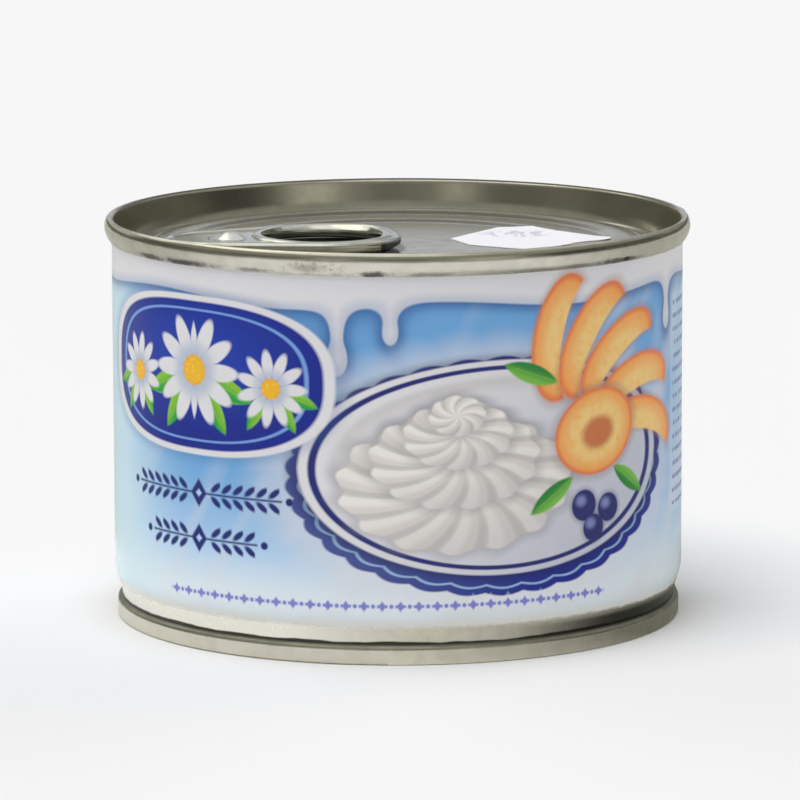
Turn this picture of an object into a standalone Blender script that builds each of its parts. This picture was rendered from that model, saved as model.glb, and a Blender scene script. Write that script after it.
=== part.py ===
"""Shut tin of cream: a printed steel drum between two double-seamed ends, the upper one with a ring-pull tab.

Frame: +Z up, origin on the table under the tin's axis, the side with the badge and the dish faces -Y.
Lengths are in metres, as Blender's are; MM turns the millimetres of a drawing into them.
"""

from math import acos, cos, pi, radians, sin

import bmesh
import bpy
from mathutils import Vector

MM = 0.001

# Driving dimensions of the tin
TIN_HEIGHT = 52.2 * MM
TOP_SEAM_RADIUS = 38.1 * MM
BODY_RADIUS = 37.1 * MM
BASE_SEAM_RADIUS = 36.8 * MM
SEAM_HEIGHT = 3.0 * MM
SEAM_THICKNESS = 1.3 * MM
SEAM_ROUNDING = 0.6 * MM
SEAM_TUCK = 0.7 * MM  # how far the top seam draws in towards its lower edge
REST_WIDTH = 0.4 * MM  # flat ring that the tin stands on

CLEARANCE = 0.3 * MM  # between two pieces that touch on the real tin
SHEET = 0.5 * MM  # least metal left under any hollow of an end

# Necked foot of the drum, which lets one tin stand in the lid of another
NECK_RADIUS = 36.1 * MM
NECK_TOP = 7.2 * MM
DRUM_SKIRT = 0.5 * MM  # thickness of the drum's rim where an end reaches up into it
LID_RIM = 0.35 * MM  # the same at the lid
DRUM_TOP = 48.15 * MM  # the wall above this is part of the lid, so that the drum stays below the lid's panel

# Lid, measured from the table; radii from the tin's axis. Two soft steps lead down to the panel.
PANEL_LEVEL = 48.2 * MM
STEP_LEVEL = 48.52 * MM
LAND_LEVEL = 48.9 * MM
INNER_STEP = (21.2 * MM, 23.8 * MM)  # where the panel ends and where the step is level
OUTER_STEP = (26.6 * MM, 28.9 * MM)
SCORE_RADIUS = 31.9 * MM
SCORE_WIDTH = 0.5 * MM
SCORE_DEPTH = 0.2 * MM
LAND_END = 33.3 * MM
GROOVE_RADIUS = 34.8 * MM
GROOVE_ROUNDING = 0.65 * MM
GROOVE_LEVEL = 47.35 * MM
CHUCK_TOP_RADIUS = 36.78 * MM
CHUCK_SLOPE = 12.5  # degrees from the vertical

# Base, measured from the table
BASE_PANEL_LEVEL = 3.0 * MM
BASE_BEADS = ((30.0 * MM, 0.35 * MM), (24.0 * MM, 0.35 * MM))  # radius and height of each bead
BEAD_HALF_WIDTH = 1.6 * MM
BASE_GROOVE_RADIUS = 34.1 * MM
BASE_GROOVE_ROUNDING = 0.6 * MM
BASE_GROOVE_LEVEL = 4.15 * MM

# Ring-pull tab, in its own frame: origin at the ring's centre, +X towards the nose
TAB_DIRECTION = 191.5  # degrees from +X, the way the nose points
RING_OFFSET = 10.0 * MM  # ring's centre from the tin's axis
RING_RADIUS = 10.0 * MM
FINGER_HOLE_RADIUS = 7.75 * MM
NOSE_RADIUS = 6.2 * MM
NOSE_CENTRE = 14.4 * MM
TAB_LOW = 48.5 * MM  # underside of the tab's curled edges
TAB_HIGH = 50.0 * MM
CURL_WIDTH = 1.45 * MM
CURL_ROUNDING = 0.5 * MM
WEB_THICKNESS = 0.6 * MM
WEB_LEVEL = 48.8 * MM  # underside of the flat web
TAB_WELL_MARGIN = 0.9 * MM  # sunk outline round the tab
FINGER_WELL = (7.4 * MM, 8.4 * MM, 0.45 * MM)  # half length, half width, depth
FINGER_WELL_CENTRE = -2.4 * MM
LIFT_NOTCH = (7.5 * MM, 49.2 * MM)  # start from the ring's centre, and roof: a nail gets under here

# Rivet, which the lid is drawn up into
RIVET_CENTRE = 11.8 * MM
RIVET_SHANK = 1.4 * MM
RIVET_HEAD = 2.35 * MM
RIVET_HEAD_LEVEL = 50.35 * MM
TONGUE_SLOT_RADIUS = 3.1 * MM
TONGUE_SLOT_WIDTH = 0.45 * MM
TONGUE_SLOT_ARC = 200  # degrees, on the nose's side of the rivet

# Paper price sticker, which follows the lid's steps
STICKER_SIDE = 14.4 * MM
STICKER_CORNER = 1.4 * MM
STICKER_THICKNESS = 0.2 * MM
STICKER_GAP = 0.1 * MM
STICKER_PLACE = (16.8 * MM, 6.4 * MM)
STICKER_TURN = 41.0  # degrees

# Fineness of the meshes
TURNS = 64  # facets round the tin
TAB_STEPS = 44  # points round the tab
RIVET_TURNS = 24


def clear_scene():
    for obj in list(bpy.data.objects):
        bpy.data.objects.remove(obj)


def make_material(name, colour, roughness, metallic):
    material = bpy.data.materials.new(name)
    material.use_nodes = True
    shader = material.node_tree.nodes["Principled BSDF"]
    shader.inputs["Base Color"].default_value = (*colour, 1.0)
    shader.inputs["Roughness"].default_value = roughness
    shader.inputs["Metallic"].default_value = metallic
    return material


def arc(centre, radius, start, end, steps):
    """Points of an arc in the (r, z) plane, both ends included; the angles are in degrees."""
    angles = [radians(start + (end - start) * i / steps) for i in range(steps + 1)]
    return [(centre[0] + radius * cos(a), centre[1] + radius * sin(a)) for a in angles]


def add_object(name, mesh, material=None, parent=None):
    if material:
        mesh.materials.append(material)
    obj = bpy.data.objects.new(name, mesh)
    bpy.context.scene.collection.objects.link(obj)
    obj.parent = parent
    return obj


def finish_mesh(name, bm):
    """The bmesh as a mesh with outward faces, shaded smooth but for its creases."""
    bmesh.ops.recalc_face_normals(bm, faces=bm.faces)
    mesh = bpy.data.meshes.new(name)
    bm.to_mesh(mesh)
    bm.free()
    mesh.shade_smooth()
    mesh.set_sharp_from_angle(angle=radians(35))
    return mesh


def turned_mesh(name, outline, turns=TURNS):
    """A closed solid of revolution about Z. The outline starts and ends on the axis."""
    bm = bmesh.new()
    points = [bm.verts.new((r, 0.0, z)) for r, z in outline]
    edges = [bm.edges.new(pair) for pair in zip(points, points[1:])]
    bmesh.ops.spin(
        bm, geom=points + edges, axis=(0, 0, 1), cent=(0, 0, 0), angle=2 * pi, steps=turns, use_merge=True
    )
    bmesh.ops.remove_doubles(bm, verts=bm.verts, dist=0.001 * MM)
    return finish_mesh(name, bm)


def prism_mesh(name, outline, low, high):
    """A flat outline in the XY plane, drawn up from one level to another."""
    bm = bmesh.new()
    base = bm.faces.new([bm.verts.new((x, y, low)) for x, y in outline])
    top = bmesh.ops.extrude_face_region(bm, geom=[base])["geom"]
    raised = [v for v in top if isinstance(v, bmesh.types.BMVert)]
    bmesh.ops.translate(bm, verts=raised, vec=(0, 0, high - low))
    return finish_mesh(name, bm)


def band_mesh(name, outline_at, section):
    """A closed band round an opening. The section's points are (growth of the outline, height)."""
    bm = bmesh.new()
    loops = [[bm.verts.new((x, y, z)) for x, y in outline_at(growth)] for growth, z in section]
    for low, high in zip(loops, loops[1:] + loops[:1]):
        for i in range(len(low)):
            k = (i + 1) % len(low)
            bm.faces.new((low[i], low[k], high[k], high[i]))
    return finish_mesh(name, bm)


def boolean(target, tool, operation):
    """Joins or cuts the target by a helper object, which then stays out of the model."""
    modifier = target.modifiers.new(tool.name, "BOOLEAN")
    modifier.operation = operation
    modifier.object = tool
    tool.hide_render = True
    tool.display_type = "WIRE"


def smooth_step(share):
    return share * share * (3 - 2 * share)


# ---------------------------------------------------------------- drum


def neck_outline(steps=6):
    """The drum's foot, curving in from the wall to the neck, bottom first."""
    low = SEAM_HEIGHT + CLEARANCE
    shares = [i / steps for i in range(steps + 1)]
    return [
        (NECK_RADIUS + (BODY_RADIUS - NECK_RADIUS) * smooth_step(s), low + (NECK_TOP - low) * s)
        for s in shares
    ]


def drum_outline():
    """The printed wall with its solid filling, from the axis below to the axis above."""
    floor_level = BASE_GROOVE_LEVEL + SHEET + CLEARANCE
    roof_level = GROOVE_LEVEL - SHEET - CLEARANCE
    skirt = NECK_RADIUS - DRUM_SKIRT
    rim = BODY_RADIUS - LID_RIM
    return [
        (0.0, floor_level),
        (skirt, floor_level),
        (skirt, SEAM_HEIGHT + CLEARANCE),
        *neck_outline(),
        (BODY_RADIUS, DRUM_TOP),
        (rim, DRUM_TOP),
        (rim, roof_level),
        (0.0, roof_level),
    ]


# ---------------------------------------------------------------- lid


def chuck_radius(level):
    """Inner radius of the lid's sloping wall at a height."""
    top = TIN_HEIGHT - SEAM_ROUNDING
    lean = sin(radians(CHUCK_SLOPE)) / cos(radians(CHUCK_SLOPE))
    return CHUCK_TOP_RADIUS - (top - level) * lean


def step_outline(start, end, low, high, steps=4):
    """A soft step up from one level to another, between two radii."""
    shares = [i / steps for i in range(steps + 1)]
    return [(start + (end - start) * s, low + (high - low) * smooth_step(s)) for s in shares]


def lid_panel_outline():
    """The lid's upper face from the axis out to the bottom of the groove's outer side."""
    groove_centre = (GROOVE_RADIUS, GROOVE_LEVEL + GROOVE_ROUNDING)
    half_score = SCORE_WIDTH / 2
    return [
        (0.0, PANEL_LEVEL),
        *step_outline(*INNER_STEP, PANEL_LEVEL, STEP_LEVEL),
        *step_outline(*OUTER_STEP, STEP_LEVEL, LAND_LEVEL),
        (SCORE_RADIUS - half_score, LAND_LEVEL),
        (SCORE_RADIUS, LAND_LEVEL - SCORE_DEPTH),
        (SCORE_RADIUS + half_score, LAND_LEVEL),
        (LAND_END, LAND_LEVEL),
        (LAND_END + 0.45 * MM, LAND_LEVEL - 0.2 * MM),
        *arc(groove_centre, GROOVE_ROUNDING, 185, 350, 4),
    ]


def lid_level(radius):
    """Height of the lid's upper face at a radius, inside the score."""
    points = lid_panel_outline()
    for (r0, z0), (r1, z1) in zip(points, points[1:]):
        if radius <= r1:
            return z0 + (z1 - z0) * (radius - r0) / (r1 - r0)
    return LAND_LEVEL


def top_seam_outline():
    """The top seam from its inner side, over the crown, down its outside, which tucks in."""
    crown_level = TIN_HEIGHT - SEAM_ROUNDING
    seam_low = TIN_HEIGHT - SEAM_HEIGHT
    outer_corner = TOP_SEAM_RADIUS - SEAM_ROUNDING
    inner_corner = TOP_SEAM_RADIUS - SEAM_THICKNESS + SEAM_ROUNDING
    return [
        *arc((inner_corner, crown_level), SEAM_ROUNDING, 165, 90, 3),
        *arc((outer_corner, crown_level), SEAM_ROUNDING, 90, 0, 4),
        (TOP_SEAM_RADIUS - 0.05 * MM, crown_level - 1.0 * MM),
        (TOP_SEAM_RADIUS - 0.55 * SEAM_TUCK, seam_low + 0.45 * MM),
        (TOP_SEAM_RADIUS - SEAM_TUCK, seam_low + 0.1 * MM),
        (TOP_SEAM_RADIUS - SEAM_TUCK - 0.15 * MM, seam_low),
    ]


def lid_outline():
    """The lid with its seam, from the axis above to the axis below."""
    wall_foot = 48.3 * MM
    wall_outside = BODY_RADIUS - LID_RIM - 0.25 * MM
    underside = GROOVE_LEVEL - SHEET
    return [
        *lid_panel_outline(),
        (chuck_radius(wall_foot), wall_foot),
        *top_seam_outline(),
        (BODY_RADIUS, TIN_HEIGHT - SEAM_HEIGHT),
        (BODY_RADIUS, DRUM_TOP + CLEARANCE),
        (wall_outside, DRUM_TOP + CLEARANCE),
        (wall_outside - 0.3 * MM, underside),
        (0.0, underside),
    ]


# ---------------------------------------------------------------- base


def base_bead(radius, height):
    """One round bead in the base panel, on its lower face, from the outside in."""
    return [
        (radius + BEAD_HALF_WIDTH, BASE_PANEL_LEVEL),
        (radius + 0.5 * BEAD_HALF_WIDTH, BASE_PANEL_LEVEL - 0.75 * height),
        (radius, BASE_PANEL_LEVEL - height),
        (radius - 0.5 * BEAD_HALF_WIDTH, BASE_PANEL_LEVEL - 0.75 * height),
        (radius - BEAD_HALF_WIDTH, BASE_PANEL_LEVEL),
    ]


def base_outline():
    """The base with its seam, from the axis above, round the outside, to the axis below."""
    inner_corner = BASE_SEAM_RADIUS - SEAM_THICKNESS + (SEAM_THICKNESS - REST_WIDTH) / 2
    outer_corner = inner_corner + REST_WIDTH
    rounding = BASE_SEAM_RADIUS - outer_corner
    wall_outside = NECK_RADIUS - DRUM_SKIRT - CLEARANCE
    upper_face = BASE_GROOVE_LEVEL + SHEET
    groove_centre = (BASE_GROOVE_RADIUS, BASE_GROOVE_LEVEL - BASE_GROOVE_ROUNDING)
    outline = [
        (0.0, upper_face),
        (wall_outside, upper_face),
        (wall_outside, SEAM_HEIGHT),
        (BASE_SEAM_RADIUS - rounding, SEAM_HEIGHT),
        (BASE_SEAM_RADIUS - 0.5 * rounding, SEAM_HEIGHT - 0.25 * MM),
        (BASE_SEAM_RADIUS - 0.05 * MM, SEAM_HEIGHT - 0.8 * MM),
        *arc((outer_corner, rounding), rounding, 0, -90, 3),
        *arc((inner_corner, rounding), rounding, -90, -160, 2),
        *arc(groove_centre, BASE_GROOVE_ROUNDING, 10, 170, 4),
        (BASE_GROOVE_RADIUS - BASE_GROOVE_ROUNDING - 0.6 * MM, BASE_PANEL_LEVEL),
    ]
    for radius, height in BASE_BEADS:
        outline += base_bead(radius, height)
    return [*outline, (0.0, BASE_PANEL_LEVEL)]


# ---------------------------------------------------------------- tab, rivet and sticker


def egg_outline(margin, steps=TAB_STEPS):
    """The tab seen from above, grown by a margin: the ring's circle and the nose's, joined by tangents."""
    ring = RING_RADIUS + margin
    nose = NOSE_RADIUS + margin
    tangent = acos((ring - nose) / NOSE_CENTRE)
    ring_steps = round(steps * (pi - tangent) / pi)
    nose_steps = steps - ring_steps
    points = []
    for i in range(nose_steps + 1):
        angle = -tangent + 2 * tangent * i / nose_steps
        points.append((NOSE_CENTRE + nose * cos(angle), nose * sin(angle)))
    for i in range(ring_steps + 1):
        angle = tangent + (2 * pi - 2 * tangent) * i / ring_steps
        points.append((ring * cos(angle), ring * sin(angle)))
    return points


def circle_outline(radius, steps, centre=(0.0, 0.0)):
    angles = [2 * pi * i / steps for i in range(steps)]
    return [(centre[0] + radius * cos(a), centre[1] + radius * sin(a)) for a in angles]


def tongue_slot_outline(steps=10):
    """A curved slit beside the rivet, which leaves the rivet on a tongue."""
    inner = TONGUE_SLOT_RADIUS - TONGUE_SLOT_WIDTH / 2
    outer = TONGUE_SLOT_RADIUS + TONGUE_SLOT_WIDTH / 2
    half = TONGUE_SLOT_ARC / 2
    centre = (RIVET_CENTRE, 0.0)
    return arc(centre, outer, -half, half, steps) + arc(centre, inner, half, -half, steps)


def curl_section(inner, outer):
    """Section of a curled edge: a rounded block between two growths of an outline."""
    low, high = TAB_LOW + CURL_ROUNDING, TAB_HIGH - CURL_ROUNDING
    left, right = inner + CURL_ROUNDING, outer - CURL_ROUNDING
    corners = ((right, low, -90), (right, high, 0), (left, high, 90), (left, low, 180))
    return [p for x, z, turn in corners for p in arc((x, z), CURL_ROUNDING, turn, turn + 90, 2)]


def rivet_outline():
    """The rivet's shank and domed head, from the axis below to the axis above."""
    head_low = WEB_LEVEL + WEB_THICKNESS + 0.2 * MM
    head_edge = head_low + 0.25 * MM
    return [
        (0.0, PANEL_LEVEL - 0.6 * MM),
        (RIVET_SHANK, PANEL_LEVEL - 0.6 * MM),
        (RIVET_SHANK, head_low),
        (RIVET_HEAD, head_low),
        (RIVET_HEAD, head_edge),
        (0.8 * RIVET_HEAD, head_edge + 0.75 * (RIVET_HEAD_LEVEL - head_edge)),
        (0.45 * RIVET_HEAD, RIVET_HEAD_LEVEL),
        (0.0, RIVET_HEAD_LEVEL - 0.1 * MM),
    ]


def finger_well_mesh():
    """A shallow bowl cutter under the ring's free end."""
    half_length, half_width, depth = FINGER_WELL
    bm = bmesh.new()
    bmesh.ops.create_uvsphere(bm, u_segments=24, v_segments=8, radius=1.0)
    bmesh.ops.scale(bm, verts=bm.verts, vec=Vector((half_length, half_width, depth)))
    bmesh.ops.translate(bm, verts=bm.verts, vec=(FINGER_WELL_CENTRE, 0, PANEL_LEVEL))
    return finish_mesh("finger_well", bm)


def lift_notch_outline():
    start, _ = LIFT_NOTCH
    end = RING_RADIUS + 1 * MM
    return [(-end, -end), (-start, -end), (-start, end), (-end, end)]


def build_tab(tab_frame, steel):
    """The ring-pull: a flat web with a curled edge round its outline and round the finger hole."""
    web_top = WEB_LEVEL + WEB_THICKNESS
    below, above = WEB_LEVEL - 1 * MM, web_top + 2 * MM
    web = prism_mesh("pull_tab", egg_outline(-0.5 * CURL_WIDTH), WEB_LEVEL, web_top)
    tab = add_object("pull_tab", web, steel, tab_frame)
    hole = circle_outline(FINGER_HOLE_RADIUS + 0.5 * CURL_WIDTH, TAB_STEPS)
    rivet_hole = circle_outline(RIVET_SHANK + CLEARANCE, RIVET_TURNS, (RIVET_CENTRE, 0.0))
    notch_roof = LIFT_NOTCH[1]
    cuts = {
        "finger_hole_cutter": (hole, above),
        "rivet_hole_cutter": (rivet_hole, above),
        "tongue_slot_cutter": (tongue_slot_outline(), above),
    }
    for name, (outline, roof) in cuts.items():
        boolean(tab, add_object(name, prism_mesh(name, outline, below, roof), parent=tab_frame), "DIFFERENCE")
    edges = {
        "outer_curl": (egg_outline, curl_section(-CURL_WIDTH, 0.0)),
        "ring_curl": (
            lambda growth: circle_outline(FINGER_HOLE_RADIUS + growth, TAB_STEPS),
            curl_section(0.0, CURL_WIDTH),
        ),
    }
    for name, (outline_at, section) in edges.items():
        boolean(tab, add_object(name, band_mesh(name, outline_at, section), parent=tab_frame), "UNION")
    notch = prism_mesh("lift_notch", lift_notch_outline(), below, notch_roof)
    boolean(tab, add_object("lift_notch_cutter", notch, parent=tab_frame), "DIFFERENCE")


def build_lid(tab_frame, steel):
    """The upper end: the turned shape, sunk round the tab and under its ring, with the rivet drawn up."""
    lid = add_object("top_end", turned_mesh("top_end", lid_outline()), steel)
    well = prism_mesh("tab_well", egg_outline(TAB_WELL_MARGIN), PANEL_LEVEL, LAND_LEVEL + 1 * MM)
    boolean(lid, add_object("tab_well_cutter", well, parent=tab_frame), "DIFFERENCE")
    boolean(lid, add_object("finger_well_cutter", finger_well_mesh(), parent=tab_frame), "DIFFERENCE")
    rivet = turned_mesh("rivet", rivet_outline(), RIVET_TURNS)
    rivet_object = add_object("rivet_blank", rivet, parent=tab_frame)
    rivet_object.location.x = RIVET_CENTRE
    boolean(lid, rivet_object, "UNION")


def sticker_outline(steps=4):
    """A square with round corners, turned and placed on the lid."""
    reach = STICKER_SIDE / 2 - STICKER_CORNER
    corners = ((reach, reach, 0), (-reach, reach, 90), (-reach, -reach, 180), (reach, -reach, 270))
    flat = [p for x, y, turn in corners for p in arc((x, y), STICKER_CORNER, turn, turn + 90, steps)]
    c, s = cos(radians(STICKER_TURN)), sin(radians(STICKER_TURN))
    return [(c * x - s * y, s * x + c * y) for x, y in flat]


def build_sticker(paper, rings=6):
    """A thin sheet of growing outlines round its middle, laid over the lid's steps."""
    middle = Vector(STICKER_PLACE)
    outline = [Vector(p) for p in sticker_outline()]
    bm = bmesh.new()
    skins = []
    for lift in (STICKER_GAP, STICKER_GAP + STICKER_THICKNESS):
        hub = bm.verts.new((*middle, lid_level(middle.length) + lift))
        loops = []
        for k in range(1, rings + 1):
            spots = [middle + p * (k / rings) for p in outline]
            loops.append([bm.verts.new((*spot, lid_level(spot.length) + lift)) for spot in spots])
        skins.append((hub, loops))
    count = len(outline)
    for hub, loops in skins:
        for i in range(count):
            j = (i + 1) % count
            bm.faces.new((hub, loops[0][i], loops[0][j]))
            for inner, outer in zip(loops, loops[1:]):
                bm.faces.new((inner[i], outer[i], outer[j], inner[j]))
    low_rim, high_rim = skins[0][1][-1], skins[1][1][-1]
    for i in range(count):
        j = (i + 1) % count
        bm.faces.new((low_rim[i], low_rim[j], high_rim[j], high_rim[i]))
    add_object("price_sticker", finish_mesh("price_sticker", bm), paper)


def main():
    clear_scene()
    print_coat = make_material("printed_steel", (0.62, 0.74, 0.86), 0.32, 0.0)
    steel = make_material("tinplate", (0.66, 0.65, 0.60), 0.26, 1.0)
    paper = make_material("paper", (0.86, 0.85, 0.88), 0.6, 0.0)

    tab_frame = bpy.data.objects.new("tab_frame", None)
    bpy.context.scene.collection.objects.link(tab_frame)
    turn = radians(TAB_DIRECTION)
    tab_frame.location = (RING_OFFSET * cos(turn), RING_OFFSET * sin(turn), 0.0)
    tab_frame.rotation_euler.z = turn

    add_object("can_body", turned_mesh("can_body", drum_outline()), print_coat)
    add_object("bottom_end", turned_mesh("bottom_end", base_outline()), steel)
    build_lid(tab_frame, steel)
    build_tab(tab_frame, steel)
    build_sticker(paper)


main()
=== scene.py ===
"""Looks of the shut tin of cream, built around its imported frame.

The tin's lengths are in millimetres, turned into metres by MM; the studio's are in metres. The frame's +Z is
up and the front of the print faces -Y. Angles round the tin count from the front, positive towards +X, unless
a comment says otherwise.
"""

from math import acos, cos, hypot, pi, radians, sin, sqrt, tan

import bmesh
import bpy
from mathutils import Euler, Matrix, Vector, noise


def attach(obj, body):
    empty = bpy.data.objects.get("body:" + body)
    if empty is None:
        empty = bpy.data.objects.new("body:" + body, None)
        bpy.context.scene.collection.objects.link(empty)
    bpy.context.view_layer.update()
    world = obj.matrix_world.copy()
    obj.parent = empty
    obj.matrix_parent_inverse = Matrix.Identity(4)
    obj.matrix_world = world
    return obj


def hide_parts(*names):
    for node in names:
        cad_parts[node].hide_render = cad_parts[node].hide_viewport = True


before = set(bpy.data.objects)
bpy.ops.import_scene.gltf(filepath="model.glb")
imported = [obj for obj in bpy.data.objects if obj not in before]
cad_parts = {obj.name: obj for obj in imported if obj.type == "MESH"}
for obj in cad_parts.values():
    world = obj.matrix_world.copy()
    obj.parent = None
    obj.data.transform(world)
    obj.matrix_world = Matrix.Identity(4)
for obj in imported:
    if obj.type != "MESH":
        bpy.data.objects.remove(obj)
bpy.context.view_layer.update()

MM = 0.001

# ------------------------------------------------------------------ named sizes, as in the solids

TIN_HEIGHT = 52.2
TOP_SEAM_RADIUS = 38.1
BODY_RADIUS = 37.1
BASE_SEAM_RADIUS = 36.8
SEAM_HEIGHT = 3.0
SEAM_THICKNESS = 1.3
SEAM_ROUNDING = 0.6
CROWN_WIDTH = 0.65  # of the outer half of the seam's crown
SHOULDER = 1.3  # height over which the seam's outer face turns into its crown
SEAM_FACE = (  # the outer face, then the hidden inner side: inwards, height over the seam's lower edge
    (0.04, 1.4),
    (0.154, 1.0),
    (0.385, 0.45),
    (0.595, 0.15),
    (0.75, 0.0),
    (1.2, 0.1),
    (1.9, -0.8),
)
END_THICKNESS = 0.5  # of the lid, down to its plain underside
REST_WIDTH = 0.4
BASE_CROWN_WIDTH = 0.8
BASE_SHOULDER = 0.75
BASE_SEAM_TOP = 2.6

SEAM_RIPPLE = (0.018, 9.0, 0.4, 1.0)  # unevenness: depth, waves round the tin and up it, seed
SEAM_SWAY = (0.03, 3.0, 0.0, 2.0)
WALL_DENTS = (0.035, 1.7, 0.045, 6.0)
WELD_LUMP = (0.14, 4.5)  # height of the seam's thick spot over the side weld, its half-width in degrees

NECK_RADIUS = 36.1
NECK_TOP = 7.2
WALL_TOP = 49.4  # inside the seam
WALL_MARGIN = 0.4  # plain rows of the straight wall keep so far from both its ends
WALL_LOW = 2.45
PRINT_LOW = 4.75  # the print ends here and the bare steel starts

PANEL_LEVEL = 48.2
STEP_LEVEL = 48.52
LAND_LEVEL = 48.9
INNER_STEP = (21.2, 23.8)
OUTER_STEP = (27.2, 29.2)
BEAD_RADIUS = 30.2
BEAD_RISE = 0.1
BEAD_SPREAD = 1.4
BEAD_FALL = (31.3, 33.0, 0.38)  # the land drops between these radii by so much
SCORE_RADIUS = 31.9
SCORE_WIDTH = 0.5
SCORE_DEPTH = 0.2
SCORE_SHARPNESS = 0.7
LAND_END = 33.3
LAND_ROLL = (33.0, 33.85, 0.2)  # between these radii the land rolls over towards the groove by so much
GROOVE_RADIUS = 34.8
GROOVE_ROUNDING = 0.65
GROOVE_LEVEL = 47.35
GROOVE_ARC = (184, 293.33)  # from the panel's side down and round to the wall's
CHUCK_TOP_RADIUS = 36.78
CHUCK_SLOPE = 12.5
WALL_FOOT = 47.95
WALL_FLARE = 0.22  # how far the foot of the sloping wall curves inwards
WALL_FLARE_HEIGHT = 1.5
LID_WAVES = (0.012, 0.11, 4.0)  # depth, waves to the millimetre, seed

BASE_PANEL_LEVEL = 3.0
BASE_BEADS = ((30.0, 0.35), (24.0, 0.35))  # radius, height
BEAD_HALF_WIDTH = 1.6
BASE_GROOVE_RADIUS = 34.1
BASE_GROOVE_ROUNDING = 0.6
BASE_GROOVE_LEVEL = 4.15
BASE_HIDDEN = (35.3, 4.55)  # radius and top of the base inside the drum

TAB_DIRECTION = 191.5  # counted from +X, the way from the ring to the nose
RING_OFFSET = 10.0
RING_RADIUS = 10.0
END_SQUARENESS = 2.7  # exponent of the rounded-square free end; 2 would be a circle
FINGER_HOLE_RADIUS = 7.75
NOSE_RADIUS = 6.2
NOSE_CENTRE = 14.4
TAB_LOW = 48.32
TAB_HIGH = 50.0
CURL_WIDTH = 1.45
CURL_ROUNDING = 0.69
WEB_LEVEL = 49.05
WEB_THICKNESS = 0.6
TAB_WELL_MARGIN = 0.9
TAB_WELL_EDGE = 0.7
RING_SLOPE = ((0.72, 0.02), (0.12, 0.48), (0.03, 0.62), (0.0, 0.8))  # outwards, below the ring's top
SLOPE_NARROWING = 0.75  # share of the slope's width lost towards the nose and at the free end
FINGER_WELL = (7.4, 8.4, 0.45)  # half-length, half-width, depth
FINGER_WELL_CENTRE = -2.4
LIFT_NOTCH = (7.5, 48.7, 0.25)  # where it starts, its roof, the length of its step
RIVET_CENTRE = 11.8
RIVET_SHANK = 1.4
RIVET_CLEARANCE = 0.25
RIVET_PROFILE = (  # a level, then radii and heights over it: the foot, the flange, the flat top
    (PANEL_LEVEL, ((0.0, -0.3), (RIVET_SHANK + 0.5, -0.05), (RIVET_SHANK, 0.4))),
    (49.51, ((RIVET_SHANK, 0.0), (2.25, 0.0), (2.35, 0.05), (2.27, 0.11), (2.1, 0.14), (1.98, 0.2))),
    (50.45, ((1.0, -0.06), (0.8, 0.0), (0.4, 0.0), (0.0, 0.0))),
)
TONGUE_SLOT_RADIUS = 3.1
TONGUE_SLOT_WIDTH = 0.14
TONGUE_SLOT_ARC = 200

STICKER_CORNERS = (  # x, y, rounding
    (28.0, 2.1, 0.7),
    (19.9, 9.9, 2.0),
    (18.6, 15.3, 1.6),
    (13.0, 17.0, 1.8),
    (7.2, 4.9, 0.8),
    (9.1, -1.3, 1.3),
    (16.3, -6.1, 1.6),
)
STICKER_FACES = (0.02, 0.10)  # heights of its two faces over the lid
STICKER_BRIDGE = 1.1  # the paper follows the lid's mean level over this distance
STICKER_ROWS = 26

WELD_ANGLE = 98.0  # side seam, round from the front
TURNS = 288  # facets round the turned pieces
LID_TURNS = 432
RIVET_TURNS = 72
RING_STEPS = 144
EGG_STEPS = 168  # along the arcs of the tab's outline
EGG_SIDE_STEPS = 24


# ------------------------------------------------------------------ mesh helpers


def smooth_step(share):
    share = min(max(share, 0.0), 1.0)
    return share * share * (3 - 2 * share)


def arc(centre, radius, start, end, steps):
    angles = [radians(start + (end - start) * i / steps) for i in range(steps + 1)]
    return [(centre[0] + radius * cos(a), centre[1] + radius * sin(a)) for a in angles]


def add_object(name, content):
    thing = bpy.data.objects.new(name, content)
    bpy.context.scene.collection.objects.link(thing)
    return thing


def add_piece(name, bm, material, smooth_angle=38):
    """Turns a bmesh in millimetres into a shown piece of the tin."""
    bmesh.ops.recalc_face_normals(bm, faces=bm.faces)
    bmesh.ops.scale(bm, verts=bm.verts, vec=(MM, MM, MM))
    mesh = bpy.data.meshes.new(name)
    bm.to_mesh(mesh)
    bm.free()
    mesh.shade_smooth()
    mesh.set_sharp_from_angle(angle=radians(smooth_angle))
    mesh.materials.append(material)
    piece = add_object(name, mesh)
    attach(piece, "root")
    return piece


def join(bm, one, other):
    """Faces between two closed loops of vertices; a loop may be a single vertex."""
    count = max(len(one), len(other))
    for i in range(count):
        k = (i + 1) % count
        corners = (one[i % len(one)], one[k % len(one)], other[k % len(other)], other[i % len(other)])
        bm.faces.new(list(dict.fromkeys(corners)))


def turned_bmesh(rings, closed=False, turns=TURNS, shape=None):
    """Rings of points (radius, height) about Z. shape(radius, angle, height) may move a point."""
    bm = bmesh.new()
    loops = []
    for radius, height in rings:
        if radius < 1e-6:
            loops.append([bm.verts.new((0, 0, height))])
            continue
        loop = []
        for i in range(turns):
            angle = 2 * pi * i / turns
            r, z = shape(radius, angle, height) if shape else (radius, height)
            loop.append(bm.verts.new((r * cos(angle), r * sin(angle), z)))
        loops.append(loop)
    for one, other in zip(loops, loops[1:] + loops[:1] * closed):
        join(bm, one, other)
    return bm


def band(bm, loops):
    """Faces between closed loops of points, the last joined to the first."""
    rows = [[bm.verts.new(p) for p in loop] for loop in loops]
    for one, other in zip(rows, rows[1:] + rows[:1]):
        join(bm, one, other)


def wander(x, y, z=0.0, seed=0.0):
    """Smooth noise from -1 to 1, the same at every run."""
    return noise.noise(Vector((x + seed, y + 3.7 * seed, z + 1.3 * seed)))


# ------------------------------------------------------------------ materials by written-out sums


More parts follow.
